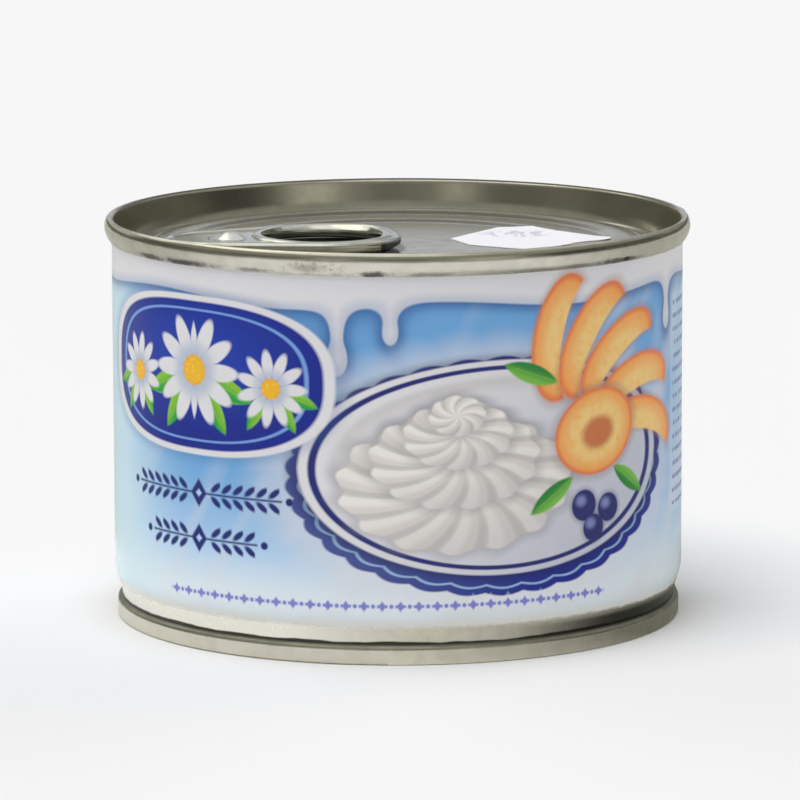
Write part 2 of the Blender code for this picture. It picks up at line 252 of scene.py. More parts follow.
def srgb(red, green, blue, gain=1.0):
    """A colour from 0 to 255 as linear light."""
    def linear(value):
        share = value / 255
        return share / 12.92 if share <= 0.04045 else ((share + 0.055) / 1.055) ** 2.4
    return tuple(min(gain * linear(v), 0.97) for v in (red, green, blue)) + (1.0,)


class Term:
    """A number on a node's socket, so that shapes can be written as sums."""

    def __init__(self, nodes, socket):
        self.nodes = nodes
        self.socket = socket

    def __add__(self, other):
        return self.nodes.math("ADD", self, other)

    __radd__ = __add__

    def __sub__(self, other):
        return self.nodes.math("SUBTRACT", self, other)

    def __rsub__(self, other):
        return self.nodes.math("SUBTRACT", other, self)

    def __mul__(self, other):
        return self.nodes.math("MULTIPLY", self, other)

    __rmul__ = __mul__

    def __truediv__(self, other):
        return self.nodes.math("DIVIDE", self, other)

    def __pow__(self, other):
        return self.nodes.math("POWER", self, other)

    def __neg__(self):
        return self.nodes.math("MULTIPLY", self, -1.0)

    def __abs__(self):
        return self.nodes.math("ABSOLUTE", self)


class Nodes:
    """Makes the nodes of one material; colour is what has been laid so far."""

    def __init__(self, name):
        self.material = bpy.data.materials.new(name)
        self.material.use_nodes = True
        self.tree = self.material.node_tree
        self.shader = self.tree.nodes["Principled BSDF"]
        self.colour = None

    def feed(self, socket, value):
        if isinstance(value, Term):
            value = value.socket
        if isinstance(value, bpy.types.NodeSocket):
            self.tree.links.new(value, socket)
        else:
            socket.default_value = value

    def node(self, kind, output=0, inputs=(), **settings):
        node = self.tree.nodes.new("ShaderNode" + kind)
        for key, value in settings.items():
            setattr(node, key, value)
        for key, value in dict(inputs).items():
            self.feed(node.inputs[key], value)
        return node.outputs[output]

    def math(self, operation, *values):
        return Term(self, self.node("Math", inputs=enumerate(values), operation=operation))

    def set(self, **values):
        for key, value in values.items():
            self.feed(self.shader.inputs[key.replace("_", " ")], value)

    def place(self):
        """The point on the piece in millimetres: (vector, x, y, z)."""
        metres = self.node("TexCoord", "Object")
        vector = self.node("VectorMath", inputs={0: metres, "Scale": 1 / MM}, operation="SCALE")
        return vector, *self.split(vector)

    def point(self, x, y):
        return self.node("CombineXYZ", inputs={0: x, 1: y})

    def split(self, vector):
        axes = self.tree.nodes.new("ShaderNodeSeparateXYZ")
        self.feed(axes.inputs[0], vector)
        return tuple(Term(self, s) for s in axes.outputs)

    def local(self, vector, centre=(0.0, 0.0), size=(1.0, 1.0), turn=0.0):
        """The vector in the frame of a shape: moved, turned back and scaled down to it."""
        if turn:
            about = {0: vector, 1: (*centre, 0.0), 3: -radians(turn)}
            vector = self.node("VectorRotate", inputs=about, rotation_type="Z_AXIS")
        shrink = (1 / size[0], 1 / size[1], 1.0)
        shift = (-centre[0] / size[0], -centre[1] / size[1], 0.0)
        return self.node("VectorMath", inputs={0: vector, 1: shrink, 2: shift}, operation="MULTIPLY_ADD")

    def length(self, vector):
        return Term(self, self.node("VectorMath", 1, {0: vector}, operation="LENGTH"))

    def ellipse(self, vector, centre, size, turn=0.0):
        """Distance outside an ellipse, in millimetres; negative inside."""
        return (self.length(self.local(vector, centre, size, turn)) - 1.0) * min(size)

    def ramp(self, value, start, end, kind="SMOOTHSTEP"):
        """0 up to the start, 1 past the end; the end may lie below the start."""
        return Term(self, self.node("MapRange", inputs={0: value, 1: start, 2: end}, interpolation_type=kind))

    def cover(self, distance, soft=0.12):
        """1 inside a shape and 0 outside it, with an edge of that softness."""
        return self.ramp(distance, soft, -soft, kind="LINEAR")

    def mix(self, share, colour, other):
        """colour where share is 0, other where it is 1."""
        return self.node("Mix", 2, {0: share, 6: colour, 7: other}, data_type="RGBA")

    def lay(self, share, tone):
        """Lays that share of a tone over the colour so far."""
        self.colour = self.mix(share, self.colour, tone)

    def fill(self, distance, tone):
        """Lays a tone inside a shape."""
        self.lay(self.cover(distance), tone)

    def noise(self, vector, scale, detail=3.0, roughness=0.5):
        inputs = {"Vector": vector, "Scale": scale, "Detail": detail, "Roughness": roughness}
        return Term(self, self.node("TexNoise", inputs=inputs))

    def bump(self, height, strength, distance):
        """Gives the shader a fine relief; the distance is in metres."""
        relief = self.node("Bump", inputs={"Strength": strength, "Distance": distance, "Height": height})
        self.feed(self.shader.inputs["Normal"], relief)


# ------------------------------------------------------------------ shapes of the tin


def chuck_radius(level):
    return CHUCK_TOP_RADIUS - (TIN_HEIGHT - SEAM_ROUNDING - level) * tan(radians(CHUCK_SLOPE))


def lid_profile(radius):
    """Height of the lid's upper face at a radius, before the tab's well is sunk into it."""
    off_score = abs(radius - SCORE_RADIUS) / (SCORE_WIDTH / 2)
    level = PANEL_LEVEL - SCORE_DEPTH * max(0.0, 1 - off_score) ** SCORE_SHARPNESS
    level += BEAD_RISE * (1 - smooth_step(abs(radius - BEAD_RADIUS) / BEAD_SPREAD))
    inner = (*INNER_STEP, PANEL_LEVEL - STEP_LEVEL)
    outer = (*OUTER_STEP, STEP_LEVEL - LAND_LEVEL)
    for start, end, drop in (inner, outer, BEAD_FALL, LAND_ROLL):
        level -= drop * smooth_step((radius - start) / (end - start))
    return level


def squared_length(x, y, power):
    """Length of numbers or terms, measured so that equal ones draw a squarer circle where power is over 2."""
    return (abs(x) ** power + abs(y) ** power) ** (1 / power)


def ring_length(x, y):
    """Distance from the ring's centre, measured so that equal ones draw its squarer free end."""
    return squared_length(x, y, END_SQUARENESS if x < 0 else 2.0)


def egg_distance(x, y):
    """Distance outside the tab's outline, in the tab's own frame."""
    lean = (RING_RADIUS - NOSE_RADIUS) / NOSE_CENTRE
    rise = sqrt(1 - lean * lean)
    y = abs(y)
    along = -lean * y + rise * x
    if along < 0:
        return ring_length(x, y) - RING_RADIUS
    if along > rise * NOSE_CENTRE:
        return hypot(x - NOSE_CENTRE, y) - NOSE_RADIUS
    return rise * y + lean * x - RING_RADIUS


TAB_TURN = radians(TAB_DIRECTION)
TAB_PLACE = Vector((RING_OFFSET * cos(TAB_TURN), RING_OFFSET * sin(TAB_TURN)))


def to_tab(x, y):
    dx, dy = x - TAB_PLACE.x, y - TAB_PLACE.y
    c, s = cos(TAB_TURN), sin(TAB_TURN)
    return c * dx + s * dy, -s * dx + c * dy


def from_tab(x, y):
    c, s = cos(TAB_TURN), sin(TAB_TURN)
    return TAB_PLACE.x + c * x - s * y, TAB_PLACE.y + s * x + c * y


def lid_level(x, y):
    """Height of the lid's upper face: steps, score, the tab's well, the finger well and a slight waviness."""
    tx, ty = to_tab(x, y)
    outside = smooth_step((egg_distance(tx, ty) - TAB_WELL_MARGIN) / TAB_WELL_EDGE + 0.5)
    level = PANEL_LEVEL + (lid_profile(hypot(x, y)) - PANEL_LEVEL) * outside
    half_length, half_width, depth = FINGER_WELL
    reach = hypot((tx - FINGER_WELL_CENTRE) / half_length, ty / half_width)
    level -= depth * (1 - smooth_step(reach))
    height, waves, seed = LID_WAVES
    return level + height * wander(waves * x, waves * y, seed=seed)


def unevenness(angle, height, depth, waves_round, waves_up, seed):
    """How far a turned face strays outwards at a place."""
    return depth * wander(waves_round * cos(angle), waves_round * sin(angle), waves_up * height, seed)


def seam_waviness(radius, angle, height):
    """The rolled seam is a little uneven, and thicker where it crosses the side weld."""
    turn = (angle - radians(WELD_ANGLE - 90) + pi) % (2 * pi) - pi
    rise, half_width = WELD_LUMP
    lump = rise * (1 - smooth_step(abs(turn) / radians(half_width)))
    ripple = unevenness(angle, height, *SEAM_RIPPLE)
    sway = unevenness(angle, height, *SEAM_SWAY) - SEAM_SWAY[0]
    return radius + lump + ripple + sway, height


def add_wall(material):
    """The printed wall: straight, then necked in at the foot."""
    inside = NECK_RADIUS - 0.4
    high, end = WALL_TOP - WALL_MARGIN, NECK_TOP + WALL_MARGIN
    rows, neck_rows = 20, 14
    rings = [(BODY_RADIUS - 0.3, WALL_TOP), (BODY_RADIUS, WALL_TOP)]
    rings += [(BODY_RADIUS, high + (end - high) * i / rows) for i in range(rows + 1)]
    for i in range(neck_rows + 1):
        share = i / neck_rows
        drop = (BODY_RADIUS - NECK_RADIUS) * smooth_step(share)
        rings.append((BODY_RADIUS - drop, NECK_TOP - (NECK_TOP - WALL_LOW) * share))
    rings += [(inside, WALL_LOW), (inside, NECK_TOP)]

    def shape(radius, angle, height):
        return radius + (unevenness(angle, height, *WALL_DENTS) if radius > inside + 0.3 else 0.0), height

    wall = add_piece("printed_wall", turned_bmesh(rings, closed=True, shape=shape), material)
    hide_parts("can_body")


def panel_radii():
    """Radii of the lid's rings, closer together where the profile bends."""
    radii, radius = [], 0.6
    while radius < GROOVE_RADIUS - GROOVE_ROUNDING:
        radii.append(radius)
        bends = abs(radius - SCORE_RADIUS) < 0.6 or radius > LAND_END - 0.4
        radius += 0.08 if bends else 0.22
    return radii


def lid_rings():
    """Radii and heights from the groove over the sloping wall and the seam to the plain underside."""
    crown = TIN_HEIGHT - SEAM_ROUNDING
    inner = TOP_SEAM_RADIUS - SEAM_THICKNESS + SEAM_ROUNDING
    outer = TOP_SEAM_RADIUS - CROWN_WIDTH
    rings = arc((GROOVE_RADIUS, GROOVE_LEVEL + GROOVE_ROUNDING), GROOVE_ROUNDING, *GROOVE_ARC, 8)
    rows = 20
    for i in range(rows):
        level = WALL_FOOT + (crown - WALL_FOOT) * i / rows
        flare = WALL_FLARE * max(0.0, 1 - (level - WALL_FOOT) / WALL_FLARE_HEIGHT) ** 2
        rings.append((chuck_radius(level) - flare, level))
    rings += arc((inner, crown), SEAM_ROUNDING, 168, 90, 8)
    shoulder = arc((0, 0), 1.0, 84, 0, 14)
    rings += [(outer + CROWN_WIDTH * r, TIN_HEIGHT - SHOULDER * (1 - h)) for r, h in shoulder]
    rings += [(TOP_SEAM_RADIUS - inwards, TIN_HEIGHT - SEAM_HEIGHT + rise) for inwards, rise in SEAM_FACE]
    underside = GROOVE_LEVEL - END_THICKNESS
    return rings + [(GROOVE_RADIUS, underside), (0.0, underside)]


def add_lid(material):
    """Panel as a height field, then groove, sloping wall and seam as turned rings."""
    panel = [(radius, None) for radius in panel_radii()]

    def shape(radius, angle, height):
        if height is None:
            return radius, lid_level(radius * cos(angle), radius * sin(angle))
        on_seam = radius > CHUCK_TOP_RADIUS + 0.6 and height > TIN_HEIGHT - SEAM_HEIGHT - 0.1
        return seam_waviness(radius, angle, height) if on_seam else (radius, height)

    bm = turned_bmesh([(0.0, lid_level(0, 0)), *panel, *lid_rings()], turns=LID_TURNS, shape=shape)
    lid = add_piece("lid_steel_end", bm, material, smooth_angle=50)
    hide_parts("top_end")


def add_base(material):
    """The base: seam, groove and two round beads in the panel."""
    inner = BASE_SEAM_RADIUS - SEAM_THICKNESS + (SEAM_THICKNESS - REST_WIDTH) / 2
    outer = inner + REST_WIDTH
    rounding = BASE_SEAM_RADIUS - outer
    groove = (BASE_GROOVE_RADIUS, BASE_GROOVE_LEVEL - BASE_GROOVE_ROUNDING)
    hidden_radius, hidden_top = BASE_HIDDEN
    rings = [(0.0, hidden_top), (hidden_radius, hidden_top), (hidden_radius, BASE_SEAM_TOP)]
    for r, h in arc((0, 0), 1.0, 90, 0, 14):
        rings.append((BASE_SEAM_RADIUS - BASE_CROWN_WIDTH * (1 - r), BASE_SEAM_TOP - BASE_SHOULDER * (1 - h)))
    rings.append((BASE_SEAM_RADIUS, rounding + 0.5))
    rings += arc((outer, rounding), rounding, 0, -90, 8)
    rings += arc((inner, rounding), rounding, -90, -165, 7)
    rings += arc(groove, BASE_GROOVE_ROUNDING, 12, 170, 10)
    rings.append((BASE_GROOVE_RADIUS - BASE_GROOVE_ROUNDING - 0.6, BASE_PANEL_LEVEL))
    for radius, height in BASE_BEADS:
        for i in range(-6, 7):
            share = i / 6
            lift = height * (0.5 + 0.5 * cos(pi * share))
            rings.append((radius - share * BEAD_HALF_WIDTH, BASE_PANEL_LEVEL - lift))
    rings += [(12.0, BASE_PANEL_LEVEL), (0.0, BASE_PANEL_LEVEL)]

    def shape(radius, angle, height):
        on_seam = radius > NECK_RADIUS - 0.5 and height > 0.1
        return seam_waviness(radius, angle, height) if on_seam else (radius, height)

    bm = turned_bmesh(rings, shape=shape)
    base = add_piece("base_steel_end", bm, material, smooth_angle=50)
    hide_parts("bottom_end")


def egg_loop(growth):
    """The tab's outline grown by a distance: the ring's circle and the nose's, joined by tangents."""
    ring, nose = RING_RADIUS + growth, NOSE_RADIUS + growth
    tangent = acos((ring - nose) / NOSE_CENTRE)
    ring_steps = round(EGG_STEPS * (pi - tangent) / pi)
    nose_steps = (EGG_STEPS - ring_steps) // 2
    points = []
    for i in range(nose_steps + 1):
        angle = -tangent + 2 * tangent * i / nose_steps
        points.append((NOSE_CENTRE + nose * cos(angle), nose * sin(angle)))
    start = Vector(points[-1])
    end = Vector((ring * cos(tangent), ring * sin(tangent)))
    side = [tuple(start.lerp(end, i / EGG_SIDE_STEPS)) for i in range(1, EGG_SIDE_STEPS)]
    points += side
    for i in range(ring_steps + 1):
        angle = tangent + (2 * pi - 2 * tangent) * i / ring_steps
        reach = ring / ring_length(cos(angle), sin(angle))
        points.append((reach * cos(angle), reach * sin(angle)))
    return points + [(x, -y) for x, y in reversed(side)]


def ring_loop(growth, sloping=False):
    """The finger hole's outline grown by a distance, on the slope by less at both its ends."""
    points = []
    for i in range(RING_STEPS):
        angle = 2 * pi * i / RING_STEPS
        along = cos(angle)
        narrowing = smooth_step((along - 0.1) / 0.75) + smooth_step((-along - 0.75) / 0.22)
        radius = FINGER_HOLE_RADIUS + growth * (1 - SLOPE_NARROWING * narrowing * sloping)
        points.append((radius * cos(angle), radius * sin(angle)))
    return points


def curl_section(inner, outer, steps=5):
    """Points (outwards, height) round a curled edge: a rectangle with four round corners."""
    low, high = TAB_LOW + CURL_ROUNDING, TAB_HIGH - CURL_ROUNDING
    left, right = inner + CURL_ROUNDING, outer - CURL_ROUNDING
    corners = ((right, low, -90), (right, high, 0), (left, high, 90), (left, low, 180))
    return [p for x, z, turn in corners for p in arc((x, z), CURL_ROUNDING, turn, turn + 90, steps)]


def ring_section():
    """Points (outwards, height, whether on the slope) round the finger ring, which slopes into its hole."""
    arcs = [(growth, z, False) for growth, z in curl_section(0.0, CURL_WIDTH)]
    corner = len(arcs) // 4
    slope = [(growth, TAB_HIGH - drop, True) for growth, drop in RING_SLOPE]
    return arcs[: 2 * corner] + slope + arcs[3 * corner :]


def lifted(x, z):
    """Past the notch the free end keeps only the upper part of its curl."""
    start, roof, step = LIFT_NOTCH
    share = smooth_step((-start - x) / step)
    squeezed = roof + (z - TAB_LOW) * (TAB_HIGH - roof) / (TAB_HIGH - TAB_LOW)
    return z + (squeezed - z) * share


def tab_point(x, y, z):
    return (*from_tab(x, y), lifted(x, z))


def web_bmesh():
    """The tab's flat web with its rivet hole and the slit beside it, filled between outlines."""
    curve = bpy.data.curves.new("web_outline", "CURVE")
    curve.dimensions = "2D"
    curve.fill_mode = "BOTH"
    curve.extrude = WEB_THICKNESS / 2
    slot_in = TONGUE_SLOT_RADIUS - TONGUE_SLOT_WIDTH / 2
    slot_out = TONGUE_SLOT_RADIUS + TONGUE_SLOT_WIDTH / 2
    half = TONGUE_SLOT_ARC / 2
    centre = (RIVET_CENTRE, 0.0)
    slot = arc(centre, slot_out, -half, half, 32) + arc(centre, slot_in, half, -half, 32)
    rivet_hole = arc(centre, RIVET_SHANK + RIVET_CLEARANCE, 0, 350, 35)
    for outline in (egg_loop(-0.5 * CURL_WIDTH), ring_loop(0.5 * CURL_WIDTH), rivet_hole, slot):
        spline = curve.splines.new("POLY")
        spline.points.add(len(outline) - 1)
        for point, (x, y) in zip(spline.points, outline):
            point.co = (x, y, 0.0, 1.0)
        spline.use_cyclic_u = True
    holder = bpy.data.objects.new("web_outline", curve)
    mesh = bpy.data.meshes.new_from_object(holder)
    bm = bmesh.new()
    bm.from_mesh(mesh)
    bpy.data.objects.remove(holder)
    bpy.data.meshes.remove(mesh)
    bpy.data.curves.remove(curve)
    bmesh.ops.remove_doubles(bm, verts=bm.verts, dist=0.001)
    middle = WEB_LEVEL + WEB_THICKNESS / 2
    for vert in bm.verts:
        x, y, z = vert.co
        vert.co = tab_point(x, y, z + middle)
    return bm


def add_tab(material):
    """The ring-pull: web, curled outer edge and curled finger ring."""
    bm = web_bmesh()
    edge = curl_section(-CURL_WIDTH, 0.0)
    band(bm, [[tab_point(x, y, z) for x, y in egg_loop(growth)] for growth, z in edge])
    band(bm, [[tab_point(x, y, z) for x, y in ring_loop(growth, on)] for growth, z, on in ring_section()])
    tab = add_piece("ring_pull", bm, material, smooth_angle=45)
    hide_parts("pull_tab")


def add_rivet(material):
    """Rivet head on its shank, drawn up from the lid: a cone with a thin flange and a small flat top."""
    rings = [(radius, level + rise) for level, points in RIVET_PROFILE for radius, rise in points]
    bm = turned_bmesh(rings, turns=RIVET_TURNS)
    bmesh.ops.translate(bm, verts=bm.verts, vec=(*from_tab(RIVET_CENTRE, 0.0), 0.0))
    add_piece("rivet_head", bm, material, smooth_angle=60)


def rounded_outline(corners, steps=8, side_steps=10):
    """Closed outline of points through corners (x, y, rounding) counted anticlockwise."""
    arcs = []
    for k, (x, y, rounding) in enumerate(corners):
        here = Vector((x, y))
        back = (Vector(corners[k - 1][:2]) - here).normalized()
        ahead = (Vector(corners[(k + 1) % len(corners)][:2]) - here).normalized()
        half = back.angle(ahead) / 2
        centre = here + (back + ahead).normalized() * rounding / sin(half)
        first = here + back * rounding / tan(half) - centre
        last = here + ahead * rounding / tan(half) - centre
        arcs.append([centre + first.slerp(last, i / steps) for i in range(steps + 1)])
    points = []
    for one, other in zip(arcs, arcs[1:] + arcs[:1]):
        points += one + [one[-1].lerp(other[0], i / side_steps) for i in range(1, side_steps)]
    return points


def add_sticker(material):
    """A small paper patch of uneven outline, laid over the lid's steps."""
    border = rounded_outline(STICKER_CORNERS)
    middle = sum(border, Vector((0.0, 0.0))) / len(border)
    bm = bmesh.new()

    def vertex(offset, lift):
        x, y = middle + offset
        near = [lid_level(x + STICKER_BRIDGE * cos(a), y + STICKER_BRIDGE * sin(a)) for a in (0.0, 2.1, 4.2)]
        own = lid_level(x, y)
        return bm.verts.new((x, y, max(own, (own + sum(near)) / 4) + lift))

    edges = []
    for lift in STICKER_FACES:
        loops = [[vertex(Vector((0.0, 0.0)), lift)]]
        for row in range(1, STICKER_ROWS + 1):
            loops.append([vertex((point - middle) * row / STICKER_ROWS, lift) for point in border])
        for one, other in zip(loops, loops[1:]):
            join(bm, one, other)
        edges.append(loops[-1])
    join(bm, *edges)
    sticker = add_piece("blank_price_sticker", bm, material, smooth_angle=50)
    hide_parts("price_sticker")


# ------------------------------------------------------------------ metals and paper


# Smudges of dirt on the seam, with painted shade along its lower edge
SEAM_DIRT_AND_SHADE = (0.085, 0.07, 0.068, 1.0)
SPECK_BLACK = (0.006, 0.007, 0.006, 1.0)
RUST = (0.36, 0.26, 0.145, 1.0)
# Painted shade on the lid under the tab
RING_PAINTED_SHADE = (0.03, 0.033, 0.024, 1.0)
# Painted dark reflection in the tab's nose, then painted shade at its free end
NOSE_PAINTED_REFLECTION = (0.155, 0.16, 0.105, 1.0)
NOTCH_PAINTED_SHADE = (0.02, 0.02, 0.017, 1.0)
# Painted shade in the groove over the base seam
GROOVE_PAINTED_SHADE = (0.10, 0.105, 0.078, 1.0)
SPECK = (50.0, 49.62, 0.66, 0.32)  # degrees from the front, height, half-width and half-height in millimetres
RUST_PATCH = (-16.0, 50.2, 4.6, 1.0)
FOOT_STEEL = ((0.68, 0.65, 0.555, 1.0), (0.60, 0.575, 0.49, 1.0))  # two mottled tones
# Painted highlight, painted shadow and painted shade on the wall's bare foot
FOOT_PAINTED_HIGHLIGHT = (0.90, 0.87, 0.77, 1.0)
FOOT_SHADOW = (0.02, 0.022, 0.016, 1.0)
FOOT_PAINTED_SHADE = (0.03, 0.03, 0.025, 1.0)
WELD_GREY = (0.12, 0.115, 0.10, 1.0)
PAPER = ((0.93, 0.915, 0.965, 1.0), (0.90, 0.885, 0.94, 1.0))
SMUDGE = srgb(182, 176, 204)
SMUDGE_PLACE = ((15.6, 9.2), (4.6, 3.4))  # middle and half-sizes on the lid


def steel_material(name, tint, roughness, dirt_and_shade=None):
    """Lacquered tinplate: faint rolling lines and a little mottling, under dark, dull dirt and painted shade.

    dirt_and_shade(m, vector, x, y, z) lays the dirt, painted shade and dark reflection, and gives how dull
    they are."""
    m = Nodes(name)
    vector, x, y, z = m.place()
    rolled = m.noise(m.local(vector, size=(30.0, 0.35)), 1.0, 2.0)
    mottle = m.noise(vector, 0.35, 3.0, 0.6)
    dark = tuple(0.90 * v for v in tint[:3]) + (1.0,)
    m.colour = m.mix(m.ramp(mottle, 0.35, 0.7), tint, dark)
    rough = roughness + 0.03 * (rolled - 0.5) + 0.08 * (mottle - 0.5)
    if dirt_and_shade:
        dull = dirt_and_shade(m, vector, x, y, z)
        m.set(Metallic=1.0 - 0.8 * dull, Roughness=rough + 0.35 * dull)
    else:
        m.set(Metallic=1.0, Roughness=rough)
    m.set(Base_Color=m.colour)
    m.bump(rolled, 0.03, 0.00003)
    return m.material


SEAM_MARKS = (  # degrees from the front, half-width in degrees, height, half-height, strength
    (-56.5, 5.0, 49.60, 0.50, 0.95),
    (-45.5, 9.0, 49.56, 0.52, 1.0),
    (-28.5, 4.0, 49.54, 0.34, 0.60),
    (-17.0, 3.4, 50.20, 0.55, 0.35),
    (-4.5, 3.6, 49.50, 0.46, 0.95),
    (6.0, 5.0, 49.46, 0.34, 0.60),
    (37.0, 6.0, 49.52, 0.34, 0.65),
    (48.0, 8.0, 49.54, 0.42, 0.95),
    (104.0, 8.0, 49.56, 0.40, 0.7),
    (163.0, 12.0, 49.56, 0.40, 0.8),
    (-128.0, 9.0, 49.56, 0.42, 0.7),
)


def tab_reach(x, y):
    """Distance along the tab from the ring's centre, and the distance that draws its squarer end."""
    along, aside = to_tab(x, y)
    return along, squared_length(along, aside, END_SQUARENESS)


def seam_spot(m, flat, angle, height, half_width, half_height):
    """Distance from the middle of a spot on the seam's outer face; its edge is at 1."""
    return m.length(m.local(flat, (TOP_SEAM_RADIUS * radians(angle), height), (half_width, half_height)))


def seam_dirt_and_shade(m, vector, x, y, z):
    """Dirt smudges, a speck and rust on the seam, painted shade on its lower edge and on the lid under the
    ring.
    """
    outside = m.ramp(m.length(m.point(x, y)), 37.0, 37.3)
    flat = m.point(m.math("ARCTAN2", x, -y) * TOP_SEAM_RADIUS, z)
    ragged = m.noise(vector, 0.8, 3.0, 0.6) - 0.5
    # Painted shade along the seam's lower edge; the marks below are smudges of dirt.
    dirt_and_shade = m.ramp(z + 0.9 * ragged, 49.7, 49.2) * 0.22
    for angle, width, height, depth, strength in SEAM_MARKS:
        mark = seam_spot(m, flat, angle, height, TOP_SEAM_RADIUS * radians(width), depth)
        dirt_and_shade = m.math("MAXIMUM", dirt_and_shade, m.ramp(mark + 1.5 * ragged, 1.35, 0.3) * strength)
    dirt_and_shade = dirt_and_shade * outside
    m.lay(dirt_and_shade, SEAM_DIRT_AND_SHADE)
    m.lay(m.ramp(seam_spot(m, flat, *SPECK), 1.1, 0.7) * outside, SPECK_BLACK)
    grit = m.ramp(m.noise(vector, 1.3, 3.0, 0.65), 0.50, 0.62)
    rust = m.ramp(seam_spot(m, flat, *RUST_PATCH), 1.2, 0.5)
    m.lay(grit * rust * outside * 0.75, RUST)
    # Painted shade on the lid under the tab and just past its outline.
    under = m.ramp(tab_reach(x, y)[1] + 0.8 * ragged, 11.0, 10.1) * m.ramp(z, 49.4, 49.2)
    m.lay(under * 0.92, RING_PAINTED_SHADE)
    return dirt_and_shade


def tab_painted_light(m, vector, x, y, z):
    """The nose's web is a duller olive, a painted dark reflection; the free end has painted shade under its
    curl.
    """
    along, reach = tab_reach(x, y)
    # Painted dark reflection: the web in the nose is tinted a duller olive.
    nose = m.ramp(along, 12.9, 17.2) * m.ramp(z, 49.85, 49.7) * 0.85
    m.lay(nose, NOSE_PAINTED_REFLECTION)
    # Painted shade on the free end's side and in its notch, under the lifted curl.
    end = m.ramp(along, -5.7, -6.2) * m.ramp(z, 49.95, 49.4) * 0.93
    notch = m.ramp(abs(along + 6.5), 0.5, 0.3) * m.ramp(z, 49.6, 49.4) * 0.98
    end = m.math("MAXIMUM", end, notch) * m.ramp(reach, 9.3, 9.6)
    m.lay(end, NOTCH_PAINTED_SHADE)
    return m.math("MAXIMUM", nose, end)


def groove_painted_shade(m, vector, x, y, z):
    """Painted shade in the groove over the base seam, with a wavy edge."""
    outside = m.ramp(m.length(m.point(x, y)), 35.4, 35.8)
    wave = 0.5 * (m.noise(vector, 0.16, 2.0) - 0.5)
    # Painted shade in the crevice between the wall's foot and the base seam.
    painted_shade = m.ramp(z + wave, 1.75, 2.6) * outside * 0.90
    m.lay(painted_shade, GROOVE_PAINTED_SHADE)
    return painted_shade * 0.5


def paper_material():
    """White label paper with a few blurred lilac-grey smudges."""
    m = Nodes("sticker_paper")
    vector, x, y, _ = m.place()
    fibre = m.noise(vector, 4.0, 4.0, 0.6)
    m.colour = m.mix(m.ramp(fibre, 0.3, 0.8), *PAPER)
    spot = m.ramp(m.length(m.local(m.point(x, y), *SMUDGE_PLACE)), 1.2, 0.6)
    blot = m.ramp(m.noise(m.local(vector, size=(1.0, 2.6)), 0.62, 2.0, 0.6), 0.46, 0.56)
    m.lay(spot * blot * 0.6, SMUDGE)
    m.set(Base_Color=m.colour, Roughness=0.55, Specular_IOR_Level=0.35)
    m.bump(fibre, 0.08, 0.00003)
    return m.material


# ------------------------------------------------------------------ the print, flat on (u, v) in millimetres
# u runs round the wall from the front, v is the height; the design is printed twice, half a turn apart.

INK_GAIN = 1.34


def ink(red, green, blue):
    return srgb(red, green, blue, INK_GAIN)


PRINT_WHITE = ink(204, 203, 206)
PRINT_SHADE = ink(150, 163, 186)
DEEP_BLUE = ink(3, 27, 126)
NAVY = ink(22, 32, 104)
BLUE_SHADOW = ink(34, 80, 140)
SKY_BLUE = ink(98, 152, 200)
PALE_BLUE = ink(160, 191, 220)
MIST = ink(206, 216, 224)
GLOW_BLUE = ink(10, 52, 154)
LEFT_BLUE = ink(190, 214, 238)
CREAM_LIGHT = ink(217, 213, 208)
CREAM_MIDDLE = ink(203, 198, 193)
CREAM_SHADE = ink(172, 168, 165)
DISH_BLUE = ink(60, 72, 134)
LEAF_GREEN = ink(30, 146, 56)
LEAF_LIME = ink(124, 178, 48)
YELLOW = ink(236, 192, 44)
AMBER = ink(218, 146, 30)
PEACH_SKIN = ink(212, 110, 66)
PEACH_FLESH = ink(228, 152, 84)
PEACH_LIGHT = ink(230, 186, 118)
PEACH_PIT = ink(176, 84, 48)
VIOLET = ink(98, 104, 184)
RULE_BLUE = ink(78, 88, 160)
MINT_GREEN = ink(34, 120, 48)
MINT_LIGHT = ink(108, 172, 62)
BADGE_LINE = ink(120, 160, 214)
CHINA_SHADE = ink(176, 180, 192)
PLATTER_SHADOW = ink(8, 14, 60)
WHIRL_SHADOW = ink(120, 118, 124)
WHIRL_DARK = ink(150, 147, 150)
SLICE_SHADOW = ink(150, 96, 80)
PEACH_SHADOW = ink(120, 100, 100)
BERRY_BLUE = ink(34, 38, 100)
BERRY_GLOSS = ink(140, 150, 200)
BORDER_HALO = ink(206, 212, 228)
INFO_PALE = ink(190, 204, 216)
FOOT_WHITE = ink(204, 203, 196)

BAND_EDGE = 45.4
DRIPS = ((-7.6, 38.4, 0.75), (-0.9, 41.8, 0.55), (43.8, 40.6, 0.6))  # u, tip, half-width
BADGE = ((-28.3, 35.4), (19.0, 9.4))  # a middle and half-sizes, as below for the doily and the platter
BADGE_SQUARENESS = 2.6
DAISIES = (  # distance from the badge's middle and height, radius, turns of the leaves
    ((11.9, 34.6), 4.9, (200, 240, 300, 340)),
    ((0.0, 36.0), 7.2, (302, 338)),
)
PETALS = 11
PETAL = ((0.60, 0.0), (0.40, 0.155))  # as shares of the flower's radius
EYE_RADIUS = 0.27
DOILY = ((13.6, 23.7), (28.2, 15.2))
SCALLOPS = (17, 0.028)  # half their number, their depth as a share of the doily
PLATTER = ((13.6, 24.8), (26.4, 13.6))
WHIRLS = (  # u, v, half-width, half-height, arms
    (7.6, 22.9, 15.6, 8.9, 15),
    (7.4, 26.2, 11.2, 6.5, 13),
    (7.7, 29.2, 7.2, 4.4, 11),
    (7.5, 31.6, 3.7, 2.6, 8),
)
PEACH_SLICES = ((22.0, 40.6, 78), (27.2, 39.8, 56), (32.0, 37.2, 34), (35.6, 32.6, 12), (37.0, 27.2, -10))
SLICE_BACK = ((0.0, 0.0), (8.2, 4.4))  # a slice is this ellipse without the next
